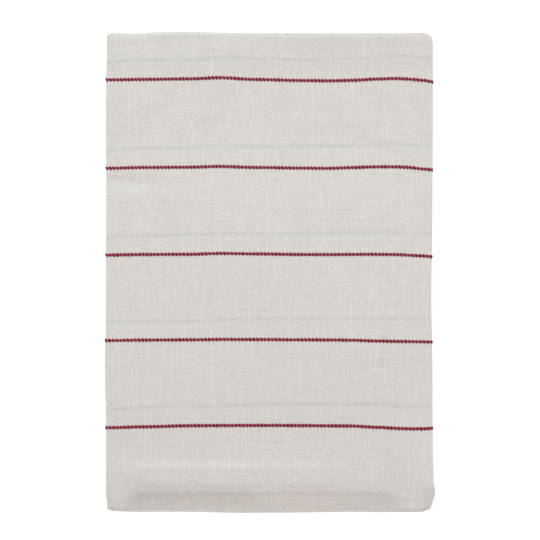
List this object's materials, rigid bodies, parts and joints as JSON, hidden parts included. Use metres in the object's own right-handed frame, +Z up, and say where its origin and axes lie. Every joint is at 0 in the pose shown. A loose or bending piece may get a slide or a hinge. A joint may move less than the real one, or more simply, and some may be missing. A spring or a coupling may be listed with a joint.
{
  "type": "tablecloth",
  "caption": "Woven tablecloth with thin stripes, hemmed and folded into a flat rectangular packet that lies on a surface.",
  "frame": {"origin": "middle of the packet's underside, on the surface that it lies on", "axes": "+X along the woven stripes, -Y towards the front fold, +Z up"},
  "size_m": [0.2518, 0.3674, 0.0204],
  "materials": {
    "cloth": "matt plain weave, undyed, with thin dark red woven stripes"
  },
  "bodies": {
    "root": {"cloth": "cloth"}
  },
  "joints": []
}
